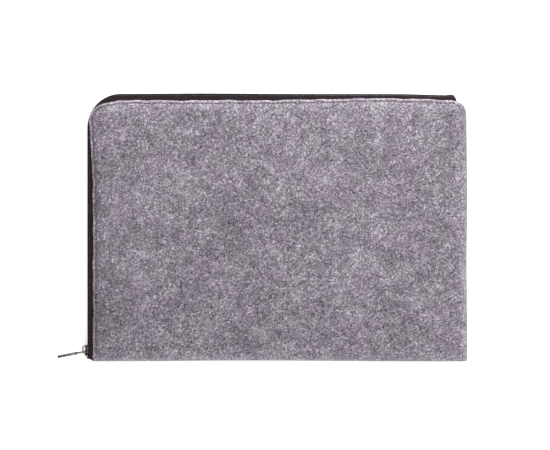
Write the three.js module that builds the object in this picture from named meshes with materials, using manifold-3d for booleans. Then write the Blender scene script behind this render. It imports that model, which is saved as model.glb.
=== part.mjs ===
// A felt laptop sleeve, lying on its back: two felt panels, sewn together along the right side and the
// bottom, and a coil zip that runs up the left side and along the top. The zip's tapes are sewn under the
// felt's edges and make a gusset between the panels.
//
// Millimetres, +X to the right, +Y towards the long run of the zip, +Z up out of the front panel.
// The origin is the middle of the back panel's resting face.
//
// Felt bends and a solid doesn't, so the front panel, with the tape, coil and stitching on it, is cut along
// FOLD: the corner beyond it lifts when the zip is open.
import * as THREE from "three";
import { mergeVertices } from "three/addons/utils/BufferGeometryUtils.js";
import Module from "manifold-3d";

const wasm = await Module();
wasm.setup();

// ---- Driving dimensions ------------------------------------------------------------------------------

const SLEEVE_WIDTH = 380; // felt and zip, without the slider and its puller
const SLEEVE_HEIGHT = 268;
const FELT = 3; // thickness
const CAVITY = 14; // between the panels
const GAP = 0.3; // between pieces that are sewn or rest together

const ZIP_CORNER_RADIUS = 28; // of the felt's edge where the zip goes round it
const SEAM_CORNER_PAST_ROLL = 6; // how much larger the corner between zip and seam is than the rolled edge
const TAPE = 0.6; // thickness
const TAPE_UNDER_FELT = 9; // how far the tape goes in under the felt
const TAPE_STAND_OFF = 2.9; // from the felt's edge to the inner face of the gusset
const TAPE_BEND = 1.5; // outer radius where the tape turns down into the gusset
const ZIP_PAST_CORNER = (22 * Math.PI) / 180; // how far tape and stitches go round the second corner
const COIL_WIDTH = 2.6; // of one half of the chain
const COIL_HEIGHT = 1.8; // above the tape
const COIL_GAP = 0.2; // between the tape and the coil sewn on it
const CHAIN_SLIT = 1.4; // between the two halves of the chain, where the slider's neck runs

const SEAM_ALLOWANCE = 7; // the edge of each panel that is turned in at the closing seam
const STITCH_INSET = 3; // from the felt's edge to the row of stitches
const THREAD = 0.6;
const GROOVE_WIDTH = 1.4; // the stitches pull the felt in along this groove
const GROOVE_DEPTH = 1;

const FOLD_UP_LEFT = 59; // from the bottom edge to the fold line, up the left side
const FOLD_FROM_RIGHT = 94; // from the right edge to the fold line, along the top
const FOLD_GAP = 0.4;

const SLIDER_LENGTH = 11.5;
const SLIDER_SHOULDER = 0.6; // how much broader it is at the nose, on each side
const SLIDER_PLATE = 1.2;
const SLIDER_FLANGE = 0.9; // width of the lips that keep the coils in
const SLIDER_ABOVE_END = 5.2; // from the bottom edge to the slider's nose, with the zip closed
const SLOT_CLEARANCE = 0.35; // on each side of the tape, between the lips
const COIL_CLEARANCE = 0.6; // between the coil and the outer plate
const LIP_CLEARANCE = 0.3; // between the coil and the lips beside it
const NECK_WIDTH = 0.9;
const NECK_LENGTH = 3.4;
const CROWN_WIDTH = 2.2;
const CROWN_LENGTH = 8;
const CROWN_STRAP = 1;

const PULLER_LENGTH = 27.5; // from its bar to its tip
const PULLER_WIDTH = 6;
const PULLER_EYE_THICKNESS = 1.6;
const PULLER_TAB_THICKNESS = 2.7;
const PULLER_ARM = 1.1;
const EYE_SIDE_CLEARANCE = 0.6; // between the crown and each arm of the eye
const EYE_END_CLEARANCE = 1.5; // between the crown and the tab when the puller lies along the chain
const PULLER_PANEL_DEPTH = 0.45; // the sunk panel on each face of the tab
const PULLER_REST = (11 * Math.PI) / 180; // how far it points down from straight out, at rest
const BAR_CLEARANCE = 0.3; // between the bar and the crown round it

const STOP_LENGTH = 2.2; // the metal stops at the chain's ends

// ---- Places worked out from them ---------------------------------------------------------------------

const THICKNESS = 2 * FELT + CAVITY;
const MID = THICKNESS / 2;
const SEAM_CORNER_RADIUS = MID + SEAM_CORNER_PAST_ROLL; // of the felt's edge, as the other corner's
const tapeOuter = TAPE_STAND_OFF + TAPE; // outward of the felt's edge, as all these are
const coilInner = tapeOuter + COIL_GAP;
const coilOuter = coilInner + COIL_HEIGHT;

const left = -SLEEVE_WIDTH / 2 + coilOuter; // the felt's own edges
const right = SLEEVE_WIDTH / 2;
const bottom = -SLEEVE_HEIGHT / 2;
const top = SLEEVE_HEIGHT / 2 - coilOuter;

const sliderNose = bottom + SLIDER_ABOVE_END;
const coilStart = sliderNose;
const tapeStart = coilStart - STOP_LENGTH - 2 * GAP;
const flatStart = bottom + MID; // above the rolled edge
const room = SLEEVE_WIDTH + SLEEVE_HEIGHT; // farther than anything reaches
const coilEnd = right - SEAM_CORNER_RADIUS - STOP_LENGTH - 2 * GAP;

// ---- Solids ------------------------------------------------------------------------------------------

/** A closed three.js geometry as a solid that can be cut and joined. */
function solid(geometry) {
  const bare = geometry.index ? geometry.toNonIndexed() : geometry.clone();
  bare.deleteAttribute("normal");
  bare.deleteAttribute("uv");
  const merged = mergeVertices(bare, 1e-4);
  return new wasm.Manifold(
    new wasm.Mesh({
      numProp: 3,
      vertProperties: new Float32Array(merged.attributes.position.array),
      triVerts: new Uint32Array(merged.index.array),
    }),
  );
}

/** A box from its lowest to its highest corner. */
function box([x0, y0, z0], [x1, y1, z1]) {
  const geometry = new THREE.BoxGeometry(x1 - x0, y1 - y0, z1 - z0);
  return solid(geometry.translate((x0 + x1) / 2, (y0 + y1) / 2, (z0 + z1) / 2));
}

/** A flat outline in X and Y, extruded from z0 to z1. */
function slab(shape, z0, z1, curveSegments = 10) {
  const geometry = new THREE.ExtrudeGeometry(shape, {
    depth: z1 - z0,
    bevelEnabled: false,
    curveSegments,
  });
  return solid(geometry.translate(0, 0, z0));
}

function polygon(points) {
  return new THREE.Shape(points.map(([x, y]) => new THREE.Vector2(x, y)));
}

// ---- The line that the zip follows -------------------------------------------------------------------

/** The felt's edge from low on the left, round the corner and along the top: close stations on bends. */
class ZipTrack extends THREE.Curve {
  constructor(fromY, toX, farBend = 0) {
    super();
    this.stations = [];
    const add = (x, y, angle) =>
      this.stations.push({
        point: new THREE.Vector3(x, y, 0),
        tangent: new THREE.Vector3(Math.sin(angle), Math.cos(angle), 0),
      });
    const bend = (cx, cy, radius, from, to, steps) => {
      for (let i = 0; i <= steps; i++) {
        const angle = from + ((to - from) * i) / steps;
        add(cx - radius * Math.cos(angle), cy + radius * Math.sin(angle), angle);
      }
    };
    add(left, fromY, 0);
    bend(left + ZIP_CORNER_RADIUS, top - ZIP_CORNER_RADIUS, ZIP_CORNER_RADIUS, 0, Math.PI / 2, 10);
    add(toX, top, Math.PI / 2);
    if (farBend > 0) {
      const centre = [right - SEAM_CORNER_RADIUS, top - SEAM_CORNER_RADIUS];
      bend(...centre, SEAM_CORNER_RADIUS, Math.PI / 2, Math.PI / 2 + farBend, 4);
    }
  }

  get steps() {
    return this.stations.length - 1;
  }

  getPointAt(u) {
    return this.stations[Math.round(u * this.steps)].point.clone();
  }

  getTangentAt(u) {
    return this.stations[Math.round(u * this.steps)].tangent.clone();
  }
}

/** A section swept along the track. Its points are [outward of the felt's edge, z]. */
function alongTrack(track, section) {
  // The sweep takes a shape's first axis downwards and its second one outwards.
  const shape = polygon(section.map(([outward, z]) => [-z, outward]));
  return solid(new THREE.ExtrudeGeometry(shape, { steps: track.steps, extrudePath: track }));
}

/** The back's counterpart of a piece of the front. */
function turnedOver(piece) {
  return piece.mirror([0, 0, 1]).translate([0, 0, THICKNESS]);
}

function rectangle(outward0, outward1, z0, z1) {
  return [
    [outward0, z0],
    [outward1, z0],
    [outward1, z1],
    [outward0, z1],
  ];
}

const straightEnd = right - SEAM_CORNER_RADIUS - GAP;
const tapeTrack = new ZipTrack(tapeStart, straightEnd, ZIP_PAST_CORNER);
const stitchTrack = new ZipTrack(flatStart, straightEnd, ZIP_PAST_CORNER);
const chainTrack = new ZipTrack(coilStart, coilEnd);

// ---- Felt panels -------------------------------------------------------------------------------------

/** The outline of a felt panel, moved by that much. */
function feltOutline(dx = 0, dy = 0) {
  const [x0, x1, y0, y1] = [left + dx, right + dx, bottom + dy, top + dy];
  const shape = new THREE.Shape();
  shape.moveTo(x0, y0);
  shape.lineTo(x1, y0);
  shape.lineTo(x1, y1 - SEAM_CORNER_RADIUS);
  shape.absarc(x1 - SEAM_CORNER_RADIUS, y1 - SEAM_CORNER_RADIUS, SEAM_CORNER_RADIUS, 0, Math.PI / 2);
  shape.lineTo(x0 + ZIP_CORNER_RADIUS, y1);
  shape.absarc(x0 + ZIP_CORNER_RADIUS, y1 - ZIP_CORNER_RADIUS, ZIP_CORNER_RADIUS, Math.PI / 2, Math.PI);
  shape.closePath();
  return shape;
}

/** The space inside the sleeve's rolled sides, that far in from its outer faces: open at the zip. */
function rolledSpace(inset) {
  const roll = MID - inset;
  const [z0, z1] = [inset, THICKNESS - inset];
  /** A section whose far end is half round: z against the distance towards the seam. */
  const section = (far, seam) => {
    const shape = new THREE.Shape();
    shape.moveTo(far, z0);
    shape.lineTo(seam - roll, z0);
    shape.absarc(seam - roll, MID, roll, -Math.PI / 2, Math.PI / 2);
    shape.lineTo(far, z1);
    return shape;
  };
  const along = (shape) =>
    new THREE.ExtrudeGeometry(shape, { depth: 2 * room, bevelEnabled: false, curveSegments: 7 })
      .translate(0, 0, -room)
      .rotateX(Math.PI / 2);
  const toRight = solid(along(section(-room, right - inset)));
  const toBottom = solid(along(section(-room, -bottom - inset)).rotateZ(-Math.PI / 2));
  return slab(feltOutline(-inset, inset), z0, z1).intersect(toRight).intersect(toBottom);
}

/** What lies above the closing seam and within that width of the seam's sides. */
function turnedIn(width, z0, z1) {
  const strip = slab(feltOutline(), z0, z1).subtract(slab(feltOutline(-width, width), z0 - 1, z1 + 1));
  return strip.intersect(rolledSpace(0));
}

/** The front panel in three lengths: its flat face, and the edges that roll down to the closing seam. */
function frontFelt() {
  const seam = MID + GAP / 2;
  const groove = rectangle(
    -STITCH_INSET - GROOVE_WIDTH / 2,
    -STITCH_INSET + GROOVE_WIDTH / 2,
    THICKNESS - GROOVE_DEPTH,
    THICKNESS + 1,
  );
  const shell = rolledSpace(0).subtract(rolledSpace(FELT));
  const edge = shell.add(turnedIn(FELT + SEAM_ALLOWANCE, seam, seam + FELT));
  const [rollX, rollY] = [right - MID, bottom + MID];
  const half = GAP / 2;
  const within = (x0, x1, y0, y1) => box([x0, y0, seam], [x1, y1, THICKNESS + 1]);
  return {
    face: shell
      .intersect(within(-room, rollX - half, rollY + half, room))
      .subtract(alongTrack(stitchTrack, groove)),
    side: edge.intersect(within(rollX + half, room, -room, room)),
    bottom: edge.intersect(within(-room, rollX - half, -room, rollY - half)),
  };
}

// ---- Zip tapes, coils and stitches -------------------------------------------------------------------

/** The tape under the front felt: flat, then round the bend and down the gusset to the chain. */
function tapeSection() {
  const flatTop = THICKNESS - FELT - GAP;
  const flatUnder = flatTop - TAPE;
  const inner = TAPE_BEND - TAPE;
  const bend = (radius, from, to, steps = 4) =>
    Array.from({ length: steps + 1 }, (_, i) => {
      const angle = from + ((to - from) * i) / steps;
      return [
        tapeOuter - TAPE_BEND + radius * Math.sin(angle),
        flatTop - TAPE_BEND + radius * Math.cos(angle),
      ];
    });
  return [
    [-TAPE_UNDER_FELT, flatUnder],
    ...bend(inner, 0, Math.PI / 2),
    [TAPE_STAND_OFF, MID + CHAIN_SLIT / 2],
    [tapeOuter, MID + CHAIN_SLIT / 2],
    ...bend(TAPE_BEND, Math.PI / 2, 0),
    [-TAPE_UNDER_FELT, flatTop],
  ];
}

/** The front tape, notched beside the rolled edges so that it lies flat up to where they begin: whole. */
function frontTape() {
  const inside = MID - FELT;
  const rollStart = MID - Math.sqrt(inside ** 2 - (inside - GAP) ** 2) + GAP;
  const notch = slab(feltOutline(-GAP, GAP), -1, THICKNESS + 1);
  const kept = slab(feltOutline(-rollStart, rollStart), -2, THICKNESS + 2);
  return alongTrack(tapeTrack, tapeSection()).subtract(notch.subtract(kept));
}

/** A strip along the zip in three lengths: up the side, round the bend and along the top. */
function inLengths(whole) {
  const [bendX, bendY] = [left + ZIP_CORNER_RADIUS, top - ZIP_CORNER_RADIUS];
  const half = GAP / 2;
  const within = (x0, x1, y0, y1) => whole.intersect(box([x0, y0, -room], [x1, y1, room]));
  return {
    side: within(-room, bendX, -room, bendY - half),
    bend: within(-room, bendX - half, bendY + half, room),
    top: within(bendX + half, room, bendY + half, room),
  };
}

/** One half of the chain, as the outer shape of its turns. */
function coilSection() {
  const inside = MID + CHAIN_SLIT / 2;
  const chamfer = 0.4;
  return [
    [coilInner, inside],
    [coilOuter - chamfer, inside],
    [coilOuter, inside + chamfer],
    [coilOuter, inside + COIL_WIDTH - chamfer],
    [coilOuter - chamfer, inside + COIL_WIDTH],
    [coilInner, inside + COIL_WIDTH],
  ];
}

/** The row of stitches, sunk in its groove. */
function stitchSection() {
  const highest = THICKNESS - (GROOVE_DEPTH - THREAD) / 2;
  return rectangle(
    -STITCH_INSET - THREAD / 2,
    -STITCH_INSET + THREAD / 2,
    highest - THREAD,
    highest,
  );
}

/** The thread that closes the bottom and the right side, on the front panel's turned-in allowance. */
function closingStitches() {
  const z = MID + GAP / 2 + FELT + GAP;
  const inset = FELT + SEAM_ALLOWANCE / 2;
  const [x0, x1] = [left + FELT, right - inset];
  const [y0, y1] = [bottom + inset, top - SEAM_CORNER_RADIUS];
  const outline = polygon([
    [x0, y0],
    [x1, y0],
    [x1, y1],
    [x1 - THREAD, y1],
    [x1 - THREAD, y0 + THREAD],
    [x0, y0 + THREAD],
  ]);
  return slab(outline, z, z + THREAD);
}

/** One metal stop on the end of a coil, centred on the front half of the chain. */
function topStop() {
  const inside = MID + CHAIN_SLIT / 2;
  const y1 = sliderNose - GAP;
  const x0 = left - coilOuter;
  return box([x0, y1 - STOP_LENGTH, inside], [x0 + COIL_HEIGHT, y1, inside + COIL_WIDTH]);
}

/** The metal stop that joins both coils at the far end of the zip. */
function bottomStop() {
  const reach = CHAIN_SLIT / 2 + COIL_WIDTH;
  const x0 = coilEnd + GAP;
  const y0 = top + coilInner;
  return box([x0, y0, MID - reach], [x0 + STOP_LENGTH, y0 + COIL_HEIGHT, MID + reach]);
}

// ---- Cutting the front along the fold ----------------------------------------------------------------

const foldStart = new THREE.Vector2(left, bottom + FOLD_UP_LEFT);
const foldEnd = new THREE.Vector2(right - FOLD_FROM_RIGHT, top);
const foldDirection = foldEnd.clone().sub(foldStart).normalize();

/** How far a point is beyond the fold line, on the side that lifts. */
function beyondFold(x, y) {
  return foldDirection.cross(new THREE.Vector2(x, y).sub(foldStart));
}

/** The pieces that the fold line cuts a solid into. */
function cutAtFold(whole) {
  const blade = new THREE.BoxGeometry(4 * room, FOLD_GAP, 4 * THICKNESS)
    .rotateZ(foldDirection.angle())
    .translate(foldStart.x, foldStart.y, MID);
  return whole
    .subtract(solid(blade))
    .decompose()
    .map((piece) => {
      const { min, max } = piece.boundingBox();
      // The piece that lifts holds the corner, so the middle of its box is beyond the line.
      const lifts = beyondFold((min[0] + max[0]) / 2, (min[1] + max[1]) / 2) > 0;
      return { x: min[0], solid: piece, lifts };
    });
}

function liftingPiece(whole) {
  return cutAtFold(whole).find((p) => p.lifts).solid;
}

function fixedPiece(whole) {
  return cutAtFold(whole).find((p) => !p.lifts).solid;
}

/** A strip along the zip in three lengths: below the fold line, the one that lifts, and past the line. */
function stripAtFold(whole) {
  const pieces = cutAtFold(whole);
  const corner = pieces.find((p) => p.lifts);
  const fixed = pieces.filter((p) => !p.lifts).sort((a, b) => a.x - b.x);
  return { lower: fixed[0].solid, corner: corner.solid, end: fixed[1].solid };
}

// ---- Slider ------------------------------------------------------------------------------------------

/** The slider's frame: x outward of the felt's edge, y along the zip from its middle, z across the zip. */
const sliderPlace = new THREE.Matrix4()
  .makeTranslation(left, sliderNose + SLIDER_LENGTH / 2, MID)
  .multiply(new THREE.Matrix4().makeRotationZ(Math.PI));
const slotInner = TAPE_STAND_OFF - SLOT_CLEARANCE;
const slotOuter = tapeOuter + SLOT_CLEARANCE;
const innerPlateFace = slotInner - 0.4;
const outerPlateFace = coilOuter + COIL_CLEARANCE;
const sliderOuter = outerPlateFace + SLIDER_PLATE;
const lipInner = CHAIN_SLIT / 2 + COIL_WIDTH + LIP_CLEARANCE;
const tailHalfWidth = lipInner + SLIDER_FLANGE;
const crownHole = PULLER_EYE_THICKNESS + 2 * BAR_CLEARANCE;
const crownTail = -SLIDER_LENGTH / 2 + 1; // the crown's end nearer the slider's tail
const crownNose = crownTail + CROWN_LENGTH;
const barPlace = {
  outward: sliderOuter + crownHole / 2,
  along: crownNose - CROWN_STRAP - crownHole / 2,
};
const eyeHalfWidth = CROWN_WIDTH / 2 + EYE_SIDE_CLEARANCE + PULLER_ARM;
const eyeLength = barPlace.along - crownTail + EYE_END_CLEARANCE; // from the bar to the tab

/** The outline of both plates, in y and z: broad at the nose, where the coils come in, narrow behind. */
function plateOutline() {
  const [nose, tail] = [SLIDER_LENGTH / 2, -SLIDER_LENGTH / 2];
  const [broad, narrow] = [tailHalfWidth + SLIDER_SHOULDER, tailHalfWidth];
  const shape = new THREE.Shape();
  shape.moveTo(tail, -narrow + 1);
  shape.lineTo(tail + 1, -narrow);
  shape.lineTo(0, -narrow);
  shape.quadraticCurveTo(nose - 3, -broad, nose - 2, -broad);
  shape.quadraticCurveTo(nose, -broad, nose, 0);
  shape.quadraticCurveTo(nose, broad, nose - 2, broad);
  shape.quadraticCurveTo(nose - 3, broad, 0, narrow);
  shape.lineTo(tail + 1, narrow);
  shape.lineTo(tail, narrow - 1);
  return shape;
}

/** A flat shape in y and z, extruded outward from x0 to x1. */
function plate(shape, x0, x1) {
  const geometry = new THREE.ExtrudeGeometry(shape, {
    depth: x1 - x0,
    bevelEnabled: false,
    curveSegments: 5,
  });
  // The extrusion's own axes are y, z and x here.
  const turn = new THREE.Matrix4().makeBasis(
    new THREE.Vector3(0, 1, 0),
    new THREE.Vector3(0, 0, 1),
    new THREE.Vector3(1, 0, 0),
  );
  return solid(geometry.applyMatrix4(turn).translate(x0, 0, 0));
}

/** The lips of both plates, on one side of the chain. */
function lips(side) {
  const [z0, z1] = side > 0 ? [lipInner, tailHalfWidth] : [-tailHalfWidth, -lipInner];
  const [y0, y1] = [-SLIDER_LENGTH / 2 + 1, SLIDER_LENGTH / 2 - 3];
  const inside = box([innerPlateFace - 0.5, y0, z0], [slotInner, y1, z1]);
  return inside.add(box([slotOuter, y0, z0], [outerPlateFace + 0.5, y1, z1]));
}

/** The neck that holds the plates together at the nose and parts the coils. */
function neck() {
  const nose = SLIDER_LENGTH / 2 - 0.8;
  const half = NECK_WIDTH / 2;
  const wedge = polygon([
    [nose - NECK_LENGTH, -half / 3],
    [nose - NECK_LENGTH / 2, -half],
    [nose, -half],
    [nose, half],
    [nose - NECK_LENGTH / 2, half],
    [nose - NECK_LENGTH, half / 3],
  ]);
  return plate(wedge, innerPlateFace - 0.5, outerPlateFace + 0.5);
}

/** The crown: a low arch over the outer plate, which the puller's eye hangs in. */
function crown() {
  const arch = (y0, y1, height, radius) => {
    const base = sliderOuter - 0.5;
    const shape = new THREE.Shape();
    shape.moveTo(base, y0);
    shape.lineTo(sliderOuter + height - radius, y0);
    shape.absarc(sliderOuter + height - radius, y0 + radius, radius, -Math.PI / 2, 0);
    shape.absarc(sliderOuter + height - radius, y1 - radius, radius, 0, Math.PI / 2);
    shape.lineTo(base, y1);
    return shape;
  };
  const half = CROWN_WIDTH / 2;
  const outside = slab(arch(crownTail, crownNose, crownHole + CROWN_STRAP, 2), -half, half, 5);
  const hole = arch(crownTail + CROWN_STRAP, crownNose - CROWN_STRAP, crownHole, 0.7);
  // The hole stops at the plate, which the crown is cast on.
  return outside.subtract(slab(hole, -half - 1, half + 1, 5));
}

function sliderBody() {
  const plates = plate(plateOutline(), innerPlateFace - SLIDER_PLATE, innerPlateFace).add(
    plate(plateOutline(), outerPlateFace, sliderOuter),
  );
  return crown().add(plates).add(lips(1)).add(lips(-1)).add(neck());
}

/** The puller, along +x from the middle of its bar, with the bar along z. */
function puller() {
  const half = PULLER_EYE_THICKNESS / 2;
  const [eye, tab] = [eyeHalfWidth, PULLER_WIDTH / 2];
  const window = eye - PULLER_ARM;
  const neckEnd = eyeLength;
  const tabEnd = PULLER_LENGTH - tab;
  const outline = new THREE.Shape();
  outline.moveTo(neckEnd, -eye + 0.6);
  outline.quadraticCurveTo(neckEnd + 2, -tab, neckEnd + 4, -tab);
  outline.lineTo(tabEnd, -tab);
  outline.absarc(tabEnd, 0, tab, -Math.PI / 2, Math.PI / 2);
  outline.lineTo(neckEnd + 4, tab);
  outline.quadraticCurveTo(neckEnd + 2, tab, neckEnd, eye - 0.6);
  const face = (shape, y0, y1) =>
    solid(
      new THREE.ExtrudeGeometry(shape, { depth: y1 - y0, bevelEnabled: false, curveSegments: 6 })
        .rotateX(-Math.PI / 2)
        .translate(0, y0, 0),
    );
  const thick = PULLER_TAB_THICKNESS / 2;
  const rim = 0.9;
  const panel = new THREE.Shape();
  panel.moveTo(neckEnd + 4, -tab + rim);
  panel.lineTo(tabEnd, -tab + rim);
  panel.absarc(tabEnd, 0, tab - rim, -Math.PI / 2, Math.PI / 2);
  panel.lineTo(neckEnd + 4, tab - rim);
  const arm = (side) => {
    const [z0, z1] = side > 0 ? [window, eye] : [-eye, -window];
    return box([0, -half, z0], [neckEnd + 1, half, z1]);
  };
  const bar = new THREE.CylinderGeometry(half, half, 2 * eye, 12).rotateX(Math.PI / 2);
  return face(outline, -thick, thick)
    .subtract(face(panel, thick - PULLER_PANEL_DEPTH, thick + 1))
    .subtract(face(panel, -thick - 1, -thick + PULLER_PANEL_DEPTH))
    .add(arm(1))
    .add(arm(-1))
    .add(solid(bar));
}

// ---- The assembly ------------------------------------------------------------------------------------

const felt = new THREE.MeshStandardMaterial({ color: 0x908892, roughness: 1 });
const tapeCloth = new THREE.MeshStandardMaterial({ color: 0x3a3236, roughness: 0.85 });
const nylon = new THREE.MeshStandardMaterial({ color: 0x2a2628, roughness: 0.5 });
const sewingThread = new THREE.MeshStandardMaterial({ color: 0x8a8089, roughness: 0.8 });
const metal = new THREE.MeshStandardMaterial({ color: 0x8c8780, roughness: 0.3, metalness: 1 });

const sleeve = new THREE.Group();

/** Adds a solid to a group as a named mesh with a material of its own, so each piece is its own node. */
function place(name, shape, material, group = sleeve) {
  const { vertProperties, triVerts, numProp } = shape.getMesh();
  const geometry = new THREE.BufferGeometry();
  geometry.setAttribute("position", new THREE.BufferAttribute(vertProperties, numProp));
  geometry.setIndex(new THREE.BufferAttribute(triVerts, 1));
  geometry.computeVertexNormals();
  const mesh = new THREE.Mesh(geometry, material.clone());
  mesh.name = name;
  group.add(mesh);
  return mesh;
}

/** Places the three lengths of a strip of the front zip. */
function placeStrip(name, whole, material) {
  const strip = stripAtFold(whole);
  for (const part of ["lower", "corner", "end"]) {
    place(`${name}_${part}`, strip[part], material);
  }
}

const panel = frontFelt();
place("front_panel", fixedPiece(panel.face), felt);
place("front_panel_corner", liftingPiece(panel.face), felt);
place("front_side_edge", panel.side, felt);
place("front_bottom_edge", panel.bottom, felt);
place("back_panel", turnedOver(panel.face), felt);
place("back_side_edge", turnedOver(panel.side), felt);
place("back_bottom_edge", turnedOver(panel.bottom), felt);

const tape = inLengths(frontTape());
place("front_zip_tape_lower", fixedPiece(tape.side), tapeCloth);
place("front_zip_tape_side", liftingPiece(tape.side), tapeCloth);
place("front_zip_tape_bend", tape.bend, tapeCloth);
place("front_zip_tape_top", liftingPiece(tape.top), tapeCloth);
place("front_zip_tape_end", fixedPiece(tape.top), tapeCloth);
place("back_zip_tape_side", turnedOver(tape.side), tapeCloth);
place("back_zip_tape_bend", turnedOver(tape.bend), tapeCloth);
place("back_zip_tape_top", turnedOver(tape.top), tapeCloth);

placeStrip("front_zip_coil", alongTrack(chainTrack, coilSection()), nylon);
placeStrip("front_zip_stitching", alongTrack(stitchTrack, stitchSection()), sewingThread);
place("back_zip_coil", turnedOver(alongTrack(chainTrack, coilSection())), nylon);
place("back_zip_stitching", turnedOver(alongTrack(stitchTrack, stitchSection())), sewingThread);
place("closing_seam_stitching", closingStitches(), sewingThread);

place("front_top_stop", topStop(), metal);
place("back_top_stop", turnedOver(topStop()), metal);
place("bottom_stop", bottomStop(), metal);

const slider = new THREE.Group();
slider.applyMatrix4(sliderPlace);
place("slider_body", sliderBody(), metal, slider);
const pullerGroup = new THREE.Group();
pullerGroup.position.set(barPlace.outward, barPlace.along, 0);
pullerGroup.rotation.z = PULLER_REST;
place("puller", puller(), metal, pullerGroup);
slider.add(pullerGroup);
sleeve.add(slider);

export default sleeve;
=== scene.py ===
# %% [markdown]
# # A felt laptop sleeve
# The sleeve lies on its back. Two felt panels are sewn together along the right side and the bottom, and a
# coil zip runs up the left side and along the top. The CAD model gives every place and size; this file
# gives the soft shapes, the stitches, the teeth and the finishes.

import math

import bmesh
import bpy
import numpy as np
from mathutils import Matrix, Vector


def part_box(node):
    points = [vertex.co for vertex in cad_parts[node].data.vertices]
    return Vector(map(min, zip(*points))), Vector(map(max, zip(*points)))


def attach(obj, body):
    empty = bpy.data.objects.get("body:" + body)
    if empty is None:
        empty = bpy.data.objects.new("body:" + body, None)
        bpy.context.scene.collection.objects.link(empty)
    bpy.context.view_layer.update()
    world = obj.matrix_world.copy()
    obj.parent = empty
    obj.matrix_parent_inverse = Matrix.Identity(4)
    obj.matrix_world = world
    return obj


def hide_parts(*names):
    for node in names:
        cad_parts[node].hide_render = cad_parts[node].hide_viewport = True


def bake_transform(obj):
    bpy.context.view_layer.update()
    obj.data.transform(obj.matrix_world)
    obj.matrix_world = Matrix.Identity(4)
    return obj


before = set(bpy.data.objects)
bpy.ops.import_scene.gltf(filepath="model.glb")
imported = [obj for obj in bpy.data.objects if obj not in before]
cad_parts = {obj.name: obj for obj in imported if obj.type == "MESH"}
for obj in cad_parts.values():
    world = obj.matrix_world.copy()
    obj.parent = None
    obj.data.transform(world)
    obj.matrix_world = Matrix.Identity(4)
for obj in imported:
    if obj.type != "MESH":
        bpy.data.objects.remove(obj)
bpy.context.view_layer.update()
MM = 0.001

# %% [markdown]
# ## Sizes
# Places and thicknesses come from the boxes of the CAD nodes, in metres, and are used here in millimetres.
# What a box can't say is a number: the two corner radii, and where the stitches run.


# %% Read the sizes from the CAD nodes
def low(node, axis):
    """The lowest coordinate of a CAD node along an axis, in millimetres."""
    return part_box(node)[0][axis] / MM


def high(node, axis):
    """The highest coordinate of a CAD node along an axis, in millimetres."""
    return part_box(node)[1][axis] / MM


left, top = low("back_panel", 0), high("back_panel", 1)
right, bottom = high("back_side_edge", 0), low("back_bottom_edge", 1)
thickness = high("front_panel", 2)
mid = thickness / 2
felt = high("back_panel", 2)
roll = mid
zip_corner, seam_corner = 28.0, 16.0
stitch_inset, stitch_pitch = 3.0, 4.4
print(f"felt {right - left:.1f} x {top - bottom:.1f} x {felt:.1f} mm, sleeve {thickness:.1f} mm thick")

# %% [markdown]
# ## Meshes from arrays
# Each new piece is a grid of points worked out with numpy. These helpers turn grids into meshes: the first
# joins neighbouring points into four-sided faces, the second makes the Blender object.


# %% Helpers for grids and pieces
def grid_faces(rows, columns, around=False, start=0, flip=False):
    """Faces between neighbours of a grid numbered row by row; around joins the last column to the first."""
    row, column = np.meshgrid(np.arange(rows - 1), np.arange(columns - (not around)), indexing="ij")
    beside = (column + 1) % columns
    here, above = row * columns, (row + 1) * columns
    corners = [here + column, here + beside, above + beside, above + column]
    faces = np.stack([c.ravel() for c in corners], axis=1) + start
    return faces[:, ::-1] if flip else faces


def tube_faces(count, rings, sides, start=0):
    """Faces of many closed tubes at once, each of so many rings of so many sides, with both end caps."""
    first = start + (np.arange(count) * rings * sides)[:, None, None]
    walls = grid_faces(rings, sides, around=True)
    caps = np.array([range(sides)[::-1], range((rings - 1) * sides, rings * sides)])
    quads = (walls[None] + first).reshape(-1, 4)
    ends = (caps[None] + first).reshape(-1, sides)
    return quads.tolist() + ends.tolist()


def new_piece(name, points, faces, weld=None, **marks):
    """A mesh object from points in mm; points nearer than weld are merged, marks are values of points."""
    mesh = bpy.data.meshes.new(name)
    mesh.from_pydata((np.asarray(points, float).reshape(-1, 3) * MM).tolist(), [], [list(f) for f in faces])
    for mark, values in marks.items():
        mesh.attributes.new(mark, "FLOAT", "POINT").data.foreach_set("value", np.ravel(values))
    work = bmesh.new()
    work.from_mesh(mesh)
    if weld:
        bmesh.ops.remove_doubles(work, verts=work.verts, dist=weld * MM)
        bmesh.ops.dissolve_degenerate(work, edges=work.edges, dist=1e-7)
    bmesh.ops.recalc_face_normals(work, faces=work.faces)
    work.to_mesh(mesh)
    work.free()
    mesh.polygons.foreach_set("use_smooth", [True] * len(mesh.polygons))
    piece = bpy.data.objects.new(name, mesh)
    bpy.context.scene.collection.objects.link(piece)
    print(f"{name}: {len(mesh.vertices)} points, {len(mesh.polygons)} faces")
    return piece


def smooth_step(value, start, end):
    """0 before start, 1 after end, and an even S between them."""
    t = np.clip((np.asarray(value, float) - start) / (end - start), 0, 1)
    return t * t * (3 - 2 * t)


def hump(value, centre, width):
    """A bell: 1 at its centre, about a third one width away, and soon nothing."""
    return np.exp(-(((np.asarray(value, float) - centre) / width) ** 2))


# %% [markdown]
# ## The line the zip follows
# The zip goes up the left side, round the large corner, along the top, and a little way into the small
# corner. A distance along that line gives a point on the felt's edge and the direction straight out of it.
# Tape, coil and stitches are all carried along it.


# %% The zip line
side_run = top - zip_corner - bottom
bend_run = math.pi / 2 * zip_corner
top_run = (right - seam_corner) - (left + zip_corner)


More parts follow.
